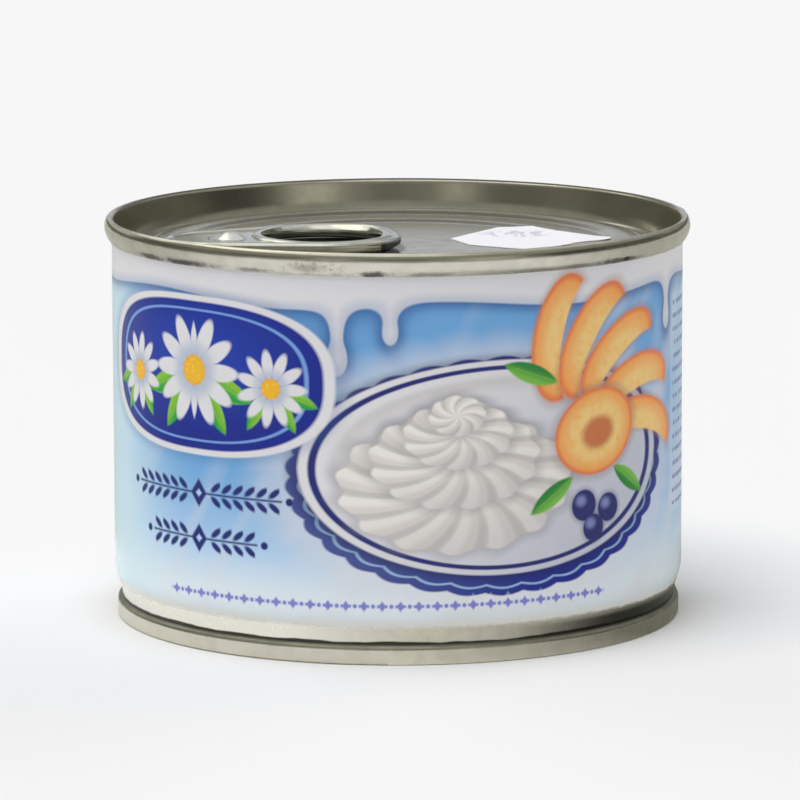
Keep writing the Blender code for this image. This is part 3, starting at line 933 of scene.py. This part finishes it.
SLICE_HOLLOW = ((0.0, -4.1), (9.2, 4.2))
PEACH_HALF = ((27.6, 28.2), (6.9, 5.4), 14.0)
PIT_SIZE = (2.6, 1.9)
LEAVES = (((17.4, 36.4), (4.0, 2.5), 160), ((20.4, 20.6), (3.8, 2.4), 214), ((33.6, 21.4), (3.6, 2.3), -34))
BERRIES = (((25.4, 18.9), 2.0), ((29.6, 18.2), 1.85), ((27.0, 15.9), 1.75))
LAUREL_ROWS = ((20.4, -27.6, 6), (14.6, -27.6, 4))  # v, middle u, leaf pairs to each side
LAUREL_PITCH = 1.75
LAUREL_START = 1.9
LAUREL_LEAF = ((1.0, 0.92), (1.02, 0.40), 38.0)
BORDER_LEVEL = 7.6
BORDER_MIDDLE = -2.0
BORDER_DASHES = 13  # to each side
BORDER_PITCH = 2.3
BORDER_DASH = (0.66, 0.19)
INFO_BLOCK = ((-12.6, 6.2), (15.0, 43.5))  # left and right, counted from the tin's side, then low and high
INFO_PITCH = 1.75


def print_ground(m, flat, u, v):
    """Blue that pales downwards and to the left, crossed by faint slanting light."""
    m.colour = m.mix(m.ramp(v, 7.0, 16.0), MIST, PALE_BLUE)
    m.lay(m.ramp(v, 11.0, 26.0), SKY_BLUE)
    side = m.math("MAXIMUM", m.ramp(u, -28.0, -48.0), m.ramp(u, 50.0, 57.5))
    m.lay(side * 0.85, LEFT_BLUE)
    light = m.noise(m.local(flat, size=(46.0, 7.0), turn=58.0), 1.0, 2.0, 0.4)
    m.lay(m.ramp(light, 0.48, 0.72) * (1.0 - side) * 0.45, PRINT_WHITE)


def lay_band(m, flat, u, v):
    """White running band at the top, with drips of several lengths and a shadow under its edge."""
    reach = BAND_EDGE + 0.6 * m.math("SINE", 0.16 * u + 0.8) - v
    for place, tip, width in DRIPS:
        below = m.math("MAXIMUM", tip - v, 0.0)
        neck = m.length(m.point(u - place, below)) - width
        reach = m.math("SMOOTH_MIN", reach, neck, 5.5)
        bulb = m.ellipse(flat, (place, tip + 0.4), (1.75 * width, 2.9 * width))
        reach = m.math("SMOOTH_MIN", reach, bulb, 0.9)
    shade = m.ramp(reach, 2.6, -0.2)
    m.lay(shade * shade * 0.8, BLUE_SHADOW)
    thickness = m.ramp(reach, -1.5, 0.0) * 0.55
    m.fill(reach, m.mix(thickness, PRINT_WHITE, PRINT_SHADE))


def superellipse(m, vector, centre, size, power):
    """Distance outside a rounded lozenge between an ellipse and a rectangle."""
    x, y, _ = m.split(m.local(vector, centre, size))
    return (squared_length(x, y, power) - 1.0) * min(size)


def lay_leaf(m, flat, centre, size, turn, green=LEAF_GREEN, light=LEAF_LIME):
    """A pointed leaf with a pale midrib: the overlap of two circles."""
    x, y, _ = m.split(m.local(flat, centre, size, turn))
    side = abs(y)
    lens = (m.length(m.point(x, side + 0.75)) - 1.25) * min(size)
    tone = m.mix(m.ramp(y, -0.3, 0.4), green, light)
    rib = m.ramp(side * min(size), 0.14, 0.05) * m.ramp(x, 0.8, 0.5)
    m.fill(lens, m.mix(rib * 0.6, tone, light))


def lay_daisy(m, flat, centre, radius, dots):
    """White petals folded out of one, round a yellow eye with grains of the given dots."""
    x, y, _ = m.split(m.local(flat, centre, (radius, radius)))
    reach = m.length(m.point(x, y))
    folded = m.math("PINGPONG", m.math("ARCTAN2", y, x), pi / PETALS)
    along = reach * m.math("COSINE", folded)
    across = reach * m.math("SINE", folded)
    petal = m.ellipse(m.point(along, across), *PETAL) * radius
    tone = m.mix(m.ramp(along, 0.62, 0.30) * 0.7, PRINT_WHITE, PRINT_SHADE)
    m.fill(petal, tone)
    gold = m.mix(dots * 0.6, YELLOW, AMBER)
    gold = m.mix(m.ramp(reach, EYE_RADIUS - 0.1, EYE_RADIUS) * 0.6, gold, AMBER)
    m.fill((reach - EYE_RADIUS) * radius, gold)


def lay_badge(m, flat, u, v):
    """Deep blue rounded panel with a white edge, three daisies and their leaves."""
    centre, size = BADGE
    edge = superellipse(m, flat, centre, size, BADGE_SQUARENESS)
    m.lay(m.ramp(edge, 2.3, 0.4) * 0.35, BLUE_SHADOW)
    m.fill(edge - 0.75, PRINT_WHITE)
    around = m.colour
    glow = m.ramp(m.length(m.local(flat, (centre[0], centre[1] + 2), size)), 1.1, 0.1)
    m.colour = m.mix(glow, DEEP_BLUE, GLOW_BLUE)
    m.lay(m.cover(abs(edge + 1.1) - 0.14, 0.08) * 0.8, BADGE_LINE)
    mirrored = m.point(abs(u - centre[0]), v)
    for (x, y), radius, turns in DAISIES:
        for turn in turns:
            c, s = cos(radians(turn)), sin(radians(turn))
            spot = (x + 0.82 * radius * c, y + 0.72 * radius * s)
            lay_leaf(m, mirrored, spot, (0.55 * radius, 0.36 * radius), turn)
    dots = m.ramp(m.node("TexVoronoi", 0, {"Vector": flat, "Scale": 1.9}), 0.22, 0.42)
    for spot, radius, _ in DAISIES:
        lay_daisy(m, mirrored, spot, radius, dots)
    m.colour = m.mix(m.cover(edge), around, m.colour)


def lay_laurel(m, flat, u, v):
    """Rows of navy leaf pairs that point away from a lozenge in the middle."""
    for level, middle, pairs in LAUREL_ROWS:
        length = pairs * LAUREL_PITCH
        out = abs(u - middle)
        high = abs(v - level)
        step = m.math("FLOORED_MODULO", out - LAUREL_START, LAUREL_PITCH)
        leaf = m.math("MAXIMUM", m.ellipse(m.point(step, high), *LAUREL_LEAF), LAUREL_START + 0.15 - out)
        leaf = m.math("MAXIMUM", leaf, out - LAUREL_START - length)
        stem = m.math("MAXIMUM", high - 0.13, out - LAUREL_START - 0.3 - length)
        bead = m.length(m.local(m.point(out, high), (LAUREL_START + 1.3 + length, 0.0))) - 0.5
        shape = (out * 0.8 + high * 0.6 - 1.1) * 0.8
        for other in (leaf, stem, bead):
            shape = m.math("MINIMUM", shape, other)
        m.fill(shape, NAVY)
        m.fill((out + high - 0.5) * 0.7, PALE_BLUE)


def lay_platter(m, flat, u, v):
    """An oval platter with a navy line, on a scalloped blue doily."""
    centre, size = DOILY
    x, y, _ = m.split(m.local(flat, centre, size))
    number, depth = SCALLOPS
    scallop = abs(m.math("SINE", number * m.math("ARCTAN2", y, x)))
    doily = (m.length(m.point(x, y)) - 1.0 + depth * (1.0 - scallop)) * min(size)
    m.lay(m.ramp(doily, 4.5, 0.0) * 0.55, PRINT_WHITE)
    cloth = m.mix(m.ramp(u, centre[0] - 22, centre[0] + 10), DISH_BLUE, DEEP_BLUE)
    thread = m.cover(abs(doily + 1.0) - 0.14, 0.08)
    m.fill(doily, m.mix(thread * 0.7, cloth, PALE_BLUE))
    centre, size = PLATTER
    rim = m.ellipse(flat, centre, size)
    m.lay(m.ramp(rim, 1.4, 0.0) * 0.5, PLATTER_SHADOW)
    china = m.mix(m.ramp(u - 0.6 * v, centre[0] - 34, centre[0] + 14), PRINT_WHITE, CHINA_SHADE)
    line = m.cover(abs(rim + 0.95) - 0.28, 0.1)
    china = m.mix(line, china, NAVY)
    lower = m.ellipse(flat, (centre[0] + 0.6, centre[1] - 1.0), size)
    well = m.ramp(rim, -1.7, -2.6) * m.ramp(lower, -3.6, -1.2)
    china = m.mix(well * 0.55, china, CREAM_SHADE)
    m.fill(rim, china)


def lay_whirl(m, flat, u, v):
    """Cream piped in four twisted tiers, each with a soft shadow under it."""
    for x, y, half_width, half_height, arms in WHIRLS:
        across, upright, _ = m.split(m.local(flat, (x, y), (half_width, half_height)))
        reach = m.length(m.point(across, upright))
        angle = m.math("ARCTAN2", upright, across)
        phase = arms * angle + 7.0 * reach
        wave = m.math("SINE", phase)
        edge = (reach - 0.965 - 0.035 * wave) * half_height
        m.lay(m.ramp(edge, 1.5, -0.2) * 0.42, WHIRL_SHADOW)
        lit = m.math("SINE", phase + 1.2) * 0.5 + 0.5
        tone = m.mix(m.ramp(lit, 0.1, 0.95), CREAM_MIDDLE, CREAM_LIGHT)
        tone = m.mix(m.ramp(wave, -0.2, -1.0) * m.ramp(reach, 0.2, 0.7) * 0.62, tone, CREAM_SHADE)
        tone = m.mix(m.ramp(upright - 0.35 * across, 0.1, -1.1) * 0.34, tone, WHIRL_DARK)
        m.fill(edge, tone)


def peach_flesh(m, edge, fibre, light, skin):
    """Flesh that is light where the edge is far, has skin near it and darker fibres all over."""
    flesh = m.mix(m.ramp(edge, *light), PEACH_FLESH, PEACH_LIGHT)
    flesh = m.mix(m.ramp(edge, skin, -0.1), flesh, PEACH_SKIN)
    return m.mix(fibre, flesh, AMBER)


def lay_peaches(m, flat, u, v):
    """A fan of peach slices, a halved peach, mint and three berries beside the whirl."""
    fibre = m.ramp(m.noise(flat, 0.8, 2.0, 0.6), 0.45, 0.72) * 0.35
    for x, y, turn in PEACH_SLICES:
        own = m.local(flat, (x, y), turn=turn)
        outer = m.ellipse(own, *SLICE_BACK)
        edge = m.math("MAXIMUM", outer, -m.ellipse(own, *SLICE_HOLLOW))
        m.lay(m.ramp(edge, 0.8, 0.0) * 0.35, SLICE_SHADOW)
        m.fill(edge, peach_flesh(m, outer, fibre, (-0.6, -2.6), -0.75))
    for spot, size, turn in LEAVES:
        lay_leaf(m, flat, spot, size, turn, MINT_GREEN, MINT_LIGHT)
    spot, size, turn = PEACH_HALF
    half = m.ellipse(flat, spot, size, turn)
    m.lay(m.ramp(half, 1.3, 0.0) * 0.4, PEACH_SHADOW)
    flesh = peach_flesh(m, half, fibre, (-0.5, -2.4), -0.7)
    pit = m.ellipse(flat, (spot[0] + 0.2, spot[1] - 0.2), PIT_SIZE, turn)
    flesh = m.mix(m.ramp(pit, 0.7, -0.5) * 0.85, flesh, PEACH_PIT)
    m.fill(half, flesh)
    for spot, radius in BERRIES:
        berry = m.ellipse(flat, spot, (radius, radius))
        gloss = m.ramp(m.ellipse(flat, (spot[0] - 0.5, spot[1] + 0.6), (0.7, 0.6)), 0.5, -0.4)
        m.lay(m.ramp(berry, 0.8, 0.0) * 0.3, NAVY)
        m.fill(berry, m.mix(gloss * 0.6, BERRY_BLUE, BERRY_GLOSS))


def lay_border(m, flat, u, v):
    """A thin line of violet dashes, dots and lozenges with pale outlines, above the bare foot."""
    out = u - BORDER_MIDDLE
    along = m.math("PINGPONG", out, BORDER_PITCH / 2)
    height = abs(v - BORDER_LEVEL)
    past = abs(out) - (BORDER_DASHES + 0.42) * BORDER_PITCH
    half_length, half_height = BORDER_DASH
    dash = m.math("MAXIMUM", along - half_length, height - half_height)
    bead = m.length(m.point(along - BORDER_PITCH / 2, height)) - 0.27
    lozenge = (along + height * 0.8 - 0.52) * 0.7
    shape = m.math("MAXIMUM", m.math("MINIMUM", m.math("MINIMUM", dash, bead), lozenge), past)
    m.lay(m.cover(shape - 0.3, 0.25) * 0.7, BORDER_HALO)
    m.lay(m.cover(shape, 0.1) * 0.9, VIOLET)


def lay_info(m, side, v):
    """Pale block at the side with thin broken rules in place of small print."""
    (left, right), (low, high) = INFO_BLOCK
    centre = ((left + right) / 2, (low + high) / 2)
    size = ((right - left) / 2, (high - low) / 2)
    x = abs(side - centre[0]) - size[0]
    y = abs(v - centre[1]) - size[1]
    block = m.math("SMOOTH_MAX", x, y, 1.6)
    m.lay(m.cover(block, 0.6) * 0.45, INFO_PALE)
    row = m.math("FLOOR", (v - low) / INFO_PITCH)
    height = abs(m.math("FLOORED_MODULO", v - low, INFO_PITCH) - INFO_PITCH / 2)
    words = m.noise(m.point(side * 1.25, row * 7.3), 1.0, 1.0, 0.5)
    line_end = right - 1.0 - 9.0 * m.noise(m.point(row * 3.1, 0.5), 1.0, 0.0)
    rule = m.cover(height - 0.30, 0.1) * m.ramp(words, 0.40, 0.44, kind="LINEAR")
    rule = rule * m.cover(x + 1.1) * m.cover(y + 0.7) * m.ramp(side, line_end, line_end - 0.3)
    m.lay(rule * 0.75, RULE_BLUE)


def wall_steel(m, vector, x, y, v, worn):
    """Bare wall steel: a painted highlight to the left, painted shade low on the right and in the foot's
    corner.
    """
    wave = m.noise(vector, 0.16, 2.0) - 0.5
    turn = m.math("ARCTAN2", x, -y)
    steel = m.mix(m.ramp(worn, 0.35, 0.7), *FOOT_STEEL)
    # Painted highlight on the bare foot, brighter towards the left.
    steel = m.mix(m.ramp(turn, radians(2), radians(-26)) * 0.9, steel, FOOT_PAINTED_HIGHLIGHT)
    steel = m.mix(m.ramp(v + 0.7 * wave, 2.98, 2.78) * 0.96, steel, FOOT_SHADOW)
    # Painted shade low on the foot towards the right, where the neck's gap lies in shade.
    painted_shade = m.ramp(abs(turn - radians(62)), radians(46), radians(12)) * m.ramp(v, 4.6, 3.8)
    return m.mix(painted_shade * 0.9, steel, FOOT_PAINTED_SHADE)


def label_material():
    """The whole printed wall: inks under clear varnish, bare steel at the foot and along the weld."""
    m = Nodes("printed_steel")
    vector, x, y, v = m.place()
    u = BODY_RADIUS * m.math("ARCTANGENT", -(x / y))
    side = BODY_RADIUS * m.math("ARCTANGENT", y / x)
    flat = m.point(u, v)
    print_ground(m, flat, u, v)
    lay_info(m, side, v)
    for lay in (lay_band, lay_platter, lay_whirl, lay_peaches, lay_badge, lay_laurel, lay_border):
        lay(m, flat, u, v)
    m.lay(m.ramp(v, 6.5, 4.9) * 0.85, FOOT_WHITE)
    weld_turn = radians(WELD_ANGLE - 90)
    across = x * -sin(weld_turn) + y * cos(weld_turn)
    strip = m.ramp(abs(across), 1.7, 1.45) * m.ramp(x, 0.0, 1.0)
    worn = m.noise(vector, 0.5, 3.0, 0.6)
    foot = m.ramp(v + 0.5 * (worn - 0.5), PRINT_LOW + 0.3, PRINT_LOW - 0.3)
    bare = m.math("MAXIMUM", strip, foot)
    weld_line = m.ramp(abs(across), 0.32, 0.12) * strip
    m.lay(bare, m.mix(weld_line * 0.75, wall_steel(m, vector, x, y, v, worn), WELD_GREY))
    m.set(Base_Color=m.colour, Metallic=bare, Roughness=0.25 + 0.06 * (worn - 0.5) + 0.03 * bare)
    m.set(Specular_IOR_Level=0.25, Coat_Weight=0.12, Coat_Roughness=0.1)
    m.bump(m.noise(vector, 0.9, 0.0), 0.06, 0.00008)
    return m.material


# ------------------------------------------------------------------ studio

CAMERA_PLACE = (0.0, -0.750, 0.1509)
CAMERA_PITCH = 9.33  # downwards
CAMERA_ROLL = -0.15
CAMERA_LENS = 261.8  # in millimetres, on a sensor of CAMERA_SENSOR
CAMERA_SENSOR = 36.0
CAMERA_SHIFT = 0.0029
CAMERA_REACH = 20.0
WORLD_STRENGTH = 0.35
FLOOR_REACH = 6.0
SUNS = (  # soft suns: name, where they stand, strength, degrees across
    ("key_sun", (-0.22, -0.25, 0.94), 1.8, 45),
    ("left_rim_sun", (-0.70, 0.65, 0.30), 0.7, 40),
    ("right_rim_sun", (0.70, 0.65, 0.30), 0.8, 40),
)

CARD_DISTANCE = 3.0
CARD_COLUMNS = 48
CARD_ROWS = 12
WINDOWS = (  # upright bands round the low card: degrees from the front, half-width, radiance
    (-76, 12, 0.145),
    (-8, 8, 0.14),
    (-26, 8, 0.42),
    (16, 6, 0.18),
    (36, 12, 0.50),
    (74, 14, 0.032),
)
END_WINDOWS = ((-150, 22, 0.55), (150, 22, 0.27))  # higher up, for the seam's crown at both ends
HIGH_WINDOWS = ((78, 46, 0.45), (-122, 40, 1.6))
WINDOW_TINT = (1.0, 0.98, 0.80)
LOW_SHINE = (0.085, 0.09, 0.065)
SPHERE_CARDS = (  # name, degrees from the front, degrees above level, radiance, windows
    ("low_card", (-166, 166), (9, 22), LOW_SHINE, WINDOWS + END_WINDOWS),
    ("left_side_card", (-166, -60), (0.5, 9), LOW_SHINE, WINDOWS),
    ("right_side_card", (60, 166), (0.5, 9), LOW_SHINE, WINDOWS),
    ("front_card", (-115, 115), (22, 46), (0.26, 0.265, 0.225), ()),
    ("crown_card", (-172, -115), (28, 46), (1.1, 1.1, 1.0), ()),
    ("high_card", (-155, 115), (46, 78), (0.92, 0.92, 0.86), HIGH_WINDOWS),
    ("pale_card", (166, 194), (6.5, 19), (0.68, 0.71, 0.78), ()),
    ("horizon_card", (166, 194), (0.5, 6.5), (0.30, 0.30, 0.28), ()),
    ("back_card", (115, 205), (40, 78), (0.62, 0.63, 0.62), ()),
    ("top_card", (-180, 180), (78, 89.5), (1.0, 1.0, 0.93), ()),
)
FLOOR_CARD_LEVEL = 0.08 * MM
FLOOR_CARD_COLUMNS = 24
FLOOR_CARDS = (  # name, distances from the axis, degrees from the front, radiance, where and to what it fades
    ("near_floor_card", (0.0366, 0.07), (-2, 165), (0.84, 0.83, 0.80), (62, (0.19, 0.195, 0.17))),
    ("right_floor_card", (0.07, 0.4, 1.6), (50, 165), (0.88, 0.88, 0.86), (95, (0.50, 0.51, 0.46))),
    ("left_floor_card", (0.07, 0.4, 1.6), (-62, -165), (0.88, 0.88, 0.86), (-95, (0.56, 0.57, 0.52))),
)
FLAG_EDGES = ((36 * MM, 58.7 * MM), (46 * MM, 58.7 * MM))  # distance from the axis, height
FLAG_TURNS = (100.8, 259.2)
FLAG_COLUMNS = 40
FLAG_RADIANCE = (0.14, 0.14, 0.12)


def add_sun(name, place, strength, size):
    """A soft sun that shines on the tin and is kept out of its mirrors."""
    light = bpy.data.lights.new(name, "SUN")
    light.energy = strength
    light.angle = radians(size)
    holder = add_object(name, light)
    holder.location = place
    holder.rotation_euler = (-Vector(place)).to_track_quat("-Z", "Y").to_euler()
    holder.visible_glossy = False


def add_camera():
    camera = bpy.data.cameras.new("camera")
    camera.sensor_width = CAMERA_SENSOR
    camera.lens = CAMERA_LENS
    camera.shift_x = CAMERA_SHIFT
    camera.clip_end = CAMERA_REACH
    holder = add_object("camera", camera)
    holder.location = CAMERA_PLACE
    pitch = Euler((radians(90 - CAMERA_PITCH), 0, 0)).to_matrix()
    holder.rotation_euler = (pitch @ Matrix.Rotation(radians(CAMERA_ROLL), 3, "Z")).to_euler()
    bpy.context.scene.camera = holder


def add_stage(name, points, faces, material):
    mesh = bpy.data.meshes.new(name)
    mesh.from_pydata(points, [], faces)
    mesh.materials.append(material)
    piece = add_object(name, mesh)
    return piece


def add_floor():
    m = Nodes("floor_white")
    m.set(Base_Color=(0.90, 0.90, 0.90, 1.0), Roughness=0.9, Specular_IOR_Level=0.1)
    r = FLOOR_REACH
    add_stage("studio_floor", [(-r, -r, 0), (r, -r, 0), (r, r, 0), (-r, r, 0)], [(0, 1, 2, 3)], m.material)


def card_material(name, radiance, windows, fade):
    """A glow with soft windows; fade is (start, end, radiance past the end), in degrees from the front."""
    m = Nodes(name)
    surface = m.tree.nodes["Material Output"].inputs["Surface"]
    m.tree.nodes.remove(m.shader)
    m.colour = (*radiance, 1.0)
    x, y, _ = m.split(m.node("TexCoord", "Object"))
    turn = m.math("ARCTAN2", x, -y) * (180 / pi)
    for middle, half, bright in windows:
        share = m.ramp(abs(turn - middle), 1.5 * half, 0.5 * half)
        m.lay(share, (*(bright * tint for tint in WINDOW_TINT), 1.0))
    if fade:
        start, end, far = fade
        m.lay(m.ramp(turn, start, end, kind="LINEAR"), (*far, 1.0))
    m.feed(surface, m.node("Emission", inputs={"Color": m.colour, "Strength": 1.0}))
    return m.material


def add_card(name, rows, turns, columns, radiance, windows=(), fade=None):
    """A patch swept round the tin's axis that only mirrors see; its rows are (distance, height)."""
    points = []
    for reach, height in rows:
        for i in range(columns + 1):
            turn = radians(turns[0] + (turns[1] - turns[0]) * i / columns)
            points.append((reach * sin(turn), -reach * cos(turn), height))
    starts = [row * (columns + 1) + i for row in range(len(rows) - 1) for i in range(columns)]
    faces = [(k, k + 1, k + columns + 2, k + columns + 1) for k in starts]
    card = add_stage(name, points, faces, card_material(name, radiance, windows, fade))
    card.visible_camera = False
    card.visible_diffuse = False
    card.visible_shadow = False
    card.visible_transmission = False


def add_cards():
    """What the steel mirrors: patches of a wide sphere and of greyer floor, which darkens towards both sides.

    The flag over the far half of the rim keeps the top card out of the seam's crown."""
    for name, turns, rises, radiance, windows in SPHERE_CARDS:
        angles = [radians(rises[0] + (rises[1] - rises[0]) * j / CARD_ROWS) for j in range(CARD_ROWS + 1)]
        rows = [(CARD_DISTANCE * cos(rise), CARD_DISTANCE * sin(rise)) for rise in angles]
        add_card(name, rows, turns, CARD_COLUMNS, radiance, windows)
    for name, reaches, turns, radiance, fade in FLOOR_CARDS:
        rows = [(reach, FLOOR_CARD_LEVEL) for reach in reaches]
        add_card(name, rows, turns, FLOOR_CARD_COLUMNS, radiance, fade=(turns[0], *fade))
    add_card("rim_flag", FLAG_EDGES, FLAG_TURNS, FLAG_COLUMNS, FLAG_RADIANCE)


def add_world():
    world = bpy.data.worlds.new("studio_world")
    world.use_nodes = True
    background = world.node_tree.nodes["Background"]
    background.inputs[0].default_value = (1.0, 1.0, 1.0, 1.0)
    background.inputs[1].default_value = WORLD_STRENGTH
    bpy.context.scene.world = world


# ------------------------------------------------------------------ the tin in its studio

add_wall(label_material())
add_lid(steel_material("lid_tinplate", (0.69, 0.665, 0.58, 1), 0.22, dirt_and_shade=seam_dirt_and_shade))
add_base(steel_material("base_tinplate", (0.69, 0.66, 0.55, 1), 0.26, dirt_and_shade=groove_painted_shade))
add_tab(steel_material("tab_tinplate", (0.76, 0.76, 0.71, 1), 0.18, dirt_and_shade=tab_painted_light))
# The rivet's tinplate is tinted brighter than the rest, a painted highlight.
add_rivet(steel_material("rivet_tinplate_painted_highlight", (0.95, 0.95, 0.92, 1), 0.24))
add_sticker(paper_material())

add_floor()
add_world()
for sun in SUNS:
    add_sun(*sun)
add_cards()
add_camera()
bpy.context.scene.view_settings.view_transform = "Standard"
